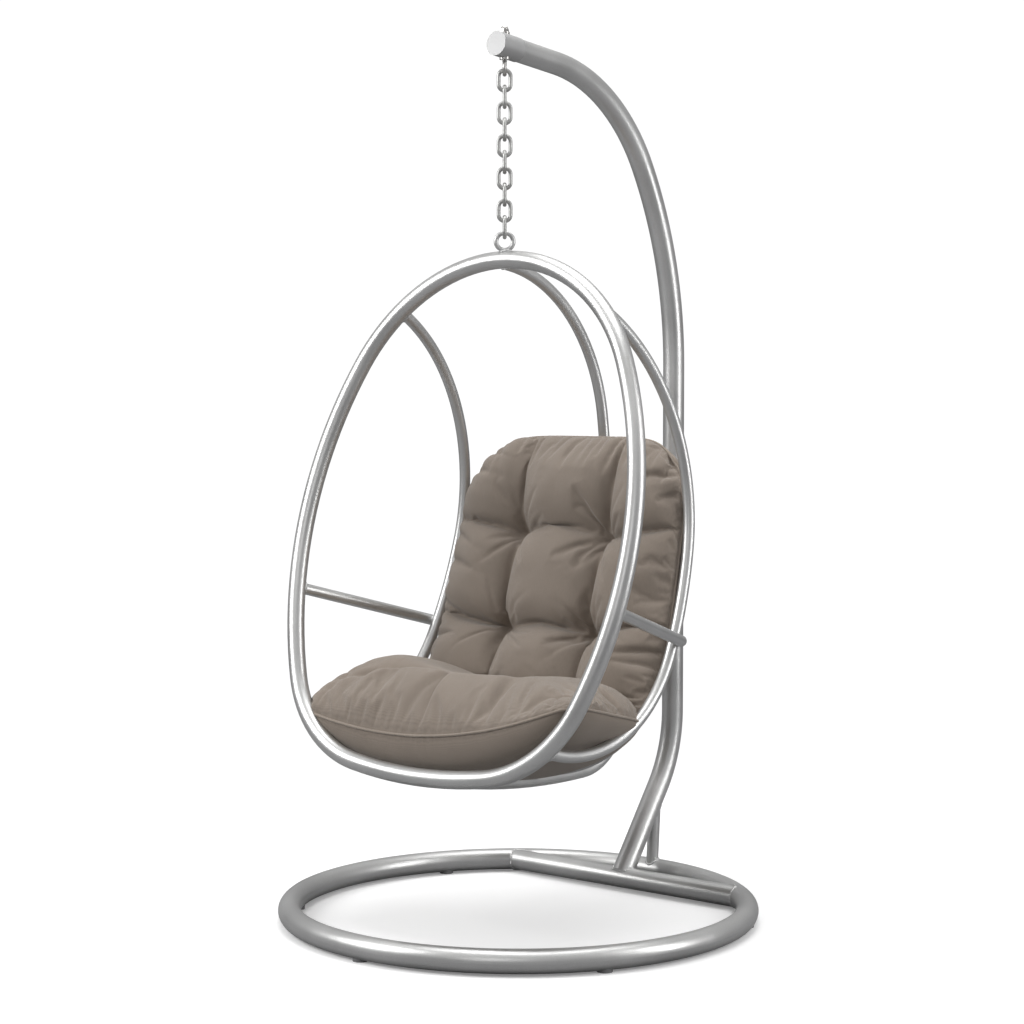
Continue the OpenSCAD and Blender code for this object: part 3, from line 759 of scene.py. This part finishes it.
seatLo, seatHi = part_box("seat_cushion")
seat = {
    "grid": (150, 84),
    "ease": 0.75,
    "half": (0.386, (seatHi.y - seatLo.y) / 2 - 0.010),
    "middleY": (seatHi.y + seatLo.y) / 2 - 0.006,
    "round": 0.075,
    "taper": 0.05,            # narrower towards the rear
    "rimHeight": 0.427,       # piping at the front of the middle
    "rimFrom": -0.30,         # where that height is measured
    "dish": 0.45,             # how fast the sides rise
    "skew": 0.085,            # the cushion sits a little crooked
    "fall": 0.18,             # slope down to the rear
    "top": 0.553,             # height of the front roll
    "topSkew": -0.03,
    "thin": 0.056,            # least stand-off of the top over the piping
    "belly": 0.080,
    "bellyFlat": 0.35,
    "edge": 5.0,
    "hollow": 0.40,           # share pressed down where a sitter was
    "sitter": (0.0, -0.11, 0.17, 0.10),      # x, y and reach both ways
    "lobes": (0.26, -0.22, 0.09, 0.10),      # the same for the fuller front corners
    "lobeSize": 0.10,
    "rollFold": {"depth": 0.026, "width": 0.014, "y": -0.235, "bend": 0.55, "from": -0.10, "sway": 0.02,
                 "waves": 9, "left": (-0.34, -0.24), "right": (0.05, 0.20)},
    "foldSize": 0.030,
    "frontGather": {"across": 15, "lean": 5, "along": 1.6, "seed": 11.3, "at": 0.045, "reach": 0.060},
    "roughness": {"scale": 3, "seed": 3.1, "base": 0.55},
    "sideGather": {"across": 21, "along": 2.5, "seed": 27.9, "at": 0.03, "reach": 0.05, "share": 0.8},
    "soft": {"scale": (9, 12), "seed": 5.7, "size": 0.004},
}


def spot(x, y, place):
    # a soft round patch: x, y and its reach both ways
    return np.exp(-(((x - place[0]) / place[2]) ** 2 + ((y - place[1]) / place[3]) ** 2))


def seatMiddle(a, b):
    x, y = squareToCushion(a, b, seat["half"], seat["round"])
    x = x * (1 - seat["taper"] * (b + 1))
    y = y + seat["middleY"]
    z = (seat["rimHeight"] + seat["dish"] * x * x + seat["skew"] * x
         - seat["fall"] * (y - seat["rimFrom"]))
    return np.stack([x, y, z], axis=1)


def seatFront(a, b, place):
    x, y, flat = place[:, 0], place[:, 1], np.zeros(len(place))
    roll = edgeRoll(a, b, seat["edge"])
    lobes = 1 + seat["lobeSize"] * spot(np.abs(x), y, seat["lobes"])
    crown = np.maximum(seat["thin"], seat["top"] + seat["topSkew"] * x - place[:, 2])
    body = crown * roll * (1 - seat["hollow"] * spot(x, y, seat["sitter"])) * lobes
    # the fold between the front roll and the hollow
    fold = seat["rollFold"]
    line = (fold["y"] - fold["bend"] * np.clip(fold["from"] - x, 0, 1) ** 1.5
            + fold["sway"] * np.sin(x * fold["waves"]))
    fade = smoothStep(*fold["left"], x) * (1 - smoothStep(*fold["right"], x))
    body -= fold["depth"] * fade * np.exp(-np.abs(y - line) / fold["width"])
    # gathers run in from the piping
    look = seat["roughness"]
    rough = look["base"] + noiseAt(np.stack([x, y, flat], axis=1) * look["scale"], look["seed"])
    look = seat["frontGather"]
    across = x * look["across"] + y * look["lean"] * np.sign(x)
    gather = ridged(np.stack([across, y * look["along"], flat], axis=1), look["seed"])
    gap = (b + 1) * seat["half"][1]
    body -= seat["foldSize"] * gather * rough * np.exp(-((gap - look["at"]) / look["reach"]) ** 2) * roll
    look = seat["sideGather"]
    gather = ridged(np.stack([y * look["across"], x * look["along"], flat], axis=1), look["seed"])
    gap = (1 - np.abs(a)) * seat["half"][0]
    body -= (look["share"] * seat["foldSize"] * gather
             * np.exp(-((gap - look["at"]) / look["reach"]) ** 2) * roll)
    look = seat["soft"]
    soft = noiseAt(np.stack([x * look["scale"][0], y * look["scale"][1], flat], axis=1), look["seed"])
    return body + look["size"] * soft * roll


def seatRear(a, b, place):
    return seat["belly"] * edgeRoll(a, b, seat["edge"]) * (1 - seat["bellyFlat"] * np.abs(a) ** 2)


seatMesh, seatRim, seatTop = pillowMesh("seatCushion", seat, seatMiddle, seatFront, seatRear)
seatCushion = newPiece("seatCushion", seatMesh, "cushionCanvas")
print("seat cushion shaped")


back = {
    "grid": (140, 140),
    "ease": 0.70,
    "half": (0.326, 0.298),
    "lowZ": 0.455,
    "highZ": 1.050,
    "round": 0.16,
    "roundTop": (0.6, 0.4),   # shares of the rounding: at both ends, and more at the top
    "taper": 0.075,           # narrower towards the top
    "edge": 5.0,
    "rearEdge": 4.0,
    "crest": 0.074,           # panels' height over the middle
    "rear": 0.072,
    "bowl": 0.018,
    "lean": {"y": 0.123, "z": 0.78, "slope": 0.28, "curlBelow": 0.62, "curl": 2.5},
    "columns": (-0.123, 0.123),
    "rows": (0.470, 0.617, 0.826),
    "rowSag": 0.012,          # a seam bows between the tufts and rises towards the sides
    "rowRise": 0.16,
    "columnFlare": 0.10,
    "flareFrom": 0.7,
    "columnReach": 0.100,
    "rowReach": 0.072,
    "wander": {"size": 0.004, "scale": 6, "seed": 8.4},
    "valley": 0.42,           # share of the height left in a valley
    "tuft": 0.42,             # share taken away again at a tuft
    "tuftReach": 0.030,
    "spokes": {"size": 0.020, "turns": 1.9, "column": 5, "row": 7, "along": 4, "seed": 17.0,
               "reach": 0.050, "eye": 0.014},
    "topGather": {"size": 0.022, "across": 19, "along": 2, "seed": 31.0, "at": 0.02, "reach": 0.060},
    "sideGather": {"size": 0.021, "across": 15, "along": 2, "lean": 0.25, "seed": 43.0, "at": 0.02,
                   "reach": 0.070},
    "soft": {"size": 0.003, "scale": 10, "seed": 2.2},
}


def backLine(z):
    lean = back["lean"]
    curl = lean["curl"] * np.clip(lean["curlBelow"] - z, 0, 1) ** 2
    return lean["y"] + lean["slope"] * (z - lean["z"]) - curl


def backMiddle(a, b):
    half = (back["half"][0], (back["highZ"] - back["lowZ"]) / 2)
    even, more = back["roundTop"]
    x, t = squareToCushion(a, b, half, back["round"] * (even + more * np.sign(b)))
    x = x * (1 - back["taper"] * (b + 1) / 2)
    z = (back["highZ"] + back["lowZ"]) / 2 + t
    y = backLine(z) + back["bowl"] * (1 - a * a)
    return np.stack([x, y, z], axis=1)


def tuftLine(row, x):
    column = back["columns"][1]
    inner = back["rowSag"] * (1 - (x / column) ** 2)
    outer = back["rowRise"] * (np.abs(x) - column)
    return row + np.where(np.abs(x) < column, inner, outer)


def puff(distance, reach):
    return (1 - (1 - np.clip(distance / reach, 0, 1)) ** 2.3) ** 0.62


def backFront(a, b, place):
    x, z, flat = place[:, 0], place[:, 2], np.zeros(len(place))
    roll = edgeRoll(a, b, back["edge"])
    look = back["wander"]
    wander = look["size"] * noiseAt(np.stack([x, z, flat], axis=1) * look["scale"], look["seed"])
    panel = np.ones(len(x))
    flare = 1 + back["columnFlare"] * (z - back["flareFrom"])
    for column in back["columns"]:
        panel *= puff(np.abs(x + wander - column * flare), back["columnReach"])
    for row in back["rows"]:
        panel *= puff(np.abs(z + wander - tuftLine(row, x)), back["rowReach"])
    tuft = np.zeros(len(x))
    creases = np.zeros(len(x))
    look = back["spokes"]
    for i, column in enumerate(back["columns"]):
        for j, row in enumerate(back["rows"]):
            dx, dz = x - column, z - row
            far = np.sqrt(dx * dx + dz * dz) + 1e-6
            tuft = np.maximum(tuft, np.exp(-(far / back["tuftReach"]) ** 1.4))
            u = dx / far * look["turns"] + look["column"] * i
            v = dz / far * look["turns"] + look["row"] * j
            spokes = ridged(np.stack([u, v, far * look["along"]], axis=1), look["seed"])
            creases += spokes * np.exp(-far / look["reach"]) * (1 - np.exp(-far / look["eye"]))
    left = back["valley"] - back["tuft"] * tuft
    body = back["crest"] * roll * (left + (1 - left) * panel)
    body -= look["size"] * creases * roll
    look = back["topGather"]
    gap = (1 - b) * back["half"][1]
    gather = ridged(np.stack([x * look["across"], z * look["along"], flat], axis=1), look["seed"])
    body -= look["size"] * gather * np.exp(-((gap - look["at"]) / look["reach"]) ** 2) * roll
    look = back["sideGather"]
    gap = (1 - np.abs(a)) * back["half"][0]
    slant = z - look["lean"] * np.abs(x)
    gather = ridged(np.stack([slant * look["across"], x * look["along"], flat], axis=1), look["seed"])
    body -= look["size"] * gather * np.exp(-((gap - look["at"]) / look["reach"]) ** 2) * roll
    look = back["soft"]
    soft = noiseAt(np.stack([x * look["scale"], z * look["scale"], flat], axis=1), look["seed"])
    return body + look["size"] * soft * roll


def backRear(a, b, place):
    return back["rear"] * edgeRoll(a, b, back["rearEdge"])


backMesh, backRim, backTop = pillowMesh("backCushion", back, backMiddle, backFront, backRear)
backCushion = newPiece("backCushion", backMesh, "cushionCanvas")
print("back cushion shaped")


fit = {
    "rim": 0.9,               # hold of the cover along its piping, 1 is fixed
    "tuft": 0.012,            # reach of a tuft's hold
    "tubeGap": 0.002,
    "seatGap": 0.001,
}


def holdSeat():
    hold = np.zeros(len(seatMesh.vertices))
    hold[seatTop:] = 1.0                     # the underside rests in the frame
    hold[seatRim] = fit["rim"]
    return hold


def holdBack():
    hold = np.zeros(len(backMesh.vertices))
    hold[backTop:] = 1.0                     # the rear leans on the rails
    hold[backRim] = fit["rim"]
    co = points(backMesh)
    for column in back["columns"]:
        for row in back["rows"]:
            near = np.hypot(co[:backTop, 0] - column, co[:backTop, 2] - row)
            hold[:backTop] = np.maximum(hold[:backTop], np.where(near < fit["tuft"], 1.0, 0.0))
    return hold


tubeTree = treeOf(*[nodes[n] for n in ("front_hoop", "side_hoop_left", "side_hoop_right", "centre_rib",
                                       "arm_left", "arm_right", "rail_upper", "rail_lower")])
print("seat cover moved", round(simulateCloth(seatCushion, holdSeat(), coverSim), 4))
print("back cover moved", round(simulateCloth(backCushion, holdBack(), coverSim), 4))
print("seat points cleared", keepClear(seatCushion, tubeTree, fit["tubeGap"]))
print("back points cleared", keepClear(backCushion, tubeTree, fit["tubeGap"]))
print("back points off the seat", keepClear(backCushion, treeOf(seatCushion), fit["seatGap"]))
for cushion, node in ((seatCushion, "seat_cushion"), (backCushion, "back_cushion")):
    subdivide(cushion)
    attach(cushion, "pod")
    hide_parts(node)
print("cushions finished")


piping = {
    "seat": {"Radius": 0.0030, "Step": 0.0035},
    "back": {"Radius": 0.0026, "Step": 0.0035},
    "proud": 0.0012,          # how far the cord stands off the cover
}


def rimLoop(cushion, rim, proud):
    co = points(cushion.data)[rim]
    middle = co.mean(axis=0)
    out = co - middle
    out /= np.linalg.norm(out, axis=1)[:, None]
    return [tuple(p) for p in co + out * proud]


for label, cushion, rim in (("seat", seatCushion, seatRim), ("back", backCushion, backRim)):
    loop = rimLoop(cushion, rim, piping["proud"])
    cord = sweepAlong(label + "Piping", [loop], "pipingCanvas", piping[label])
    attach(cord, "pod")
print("piping sewn on")
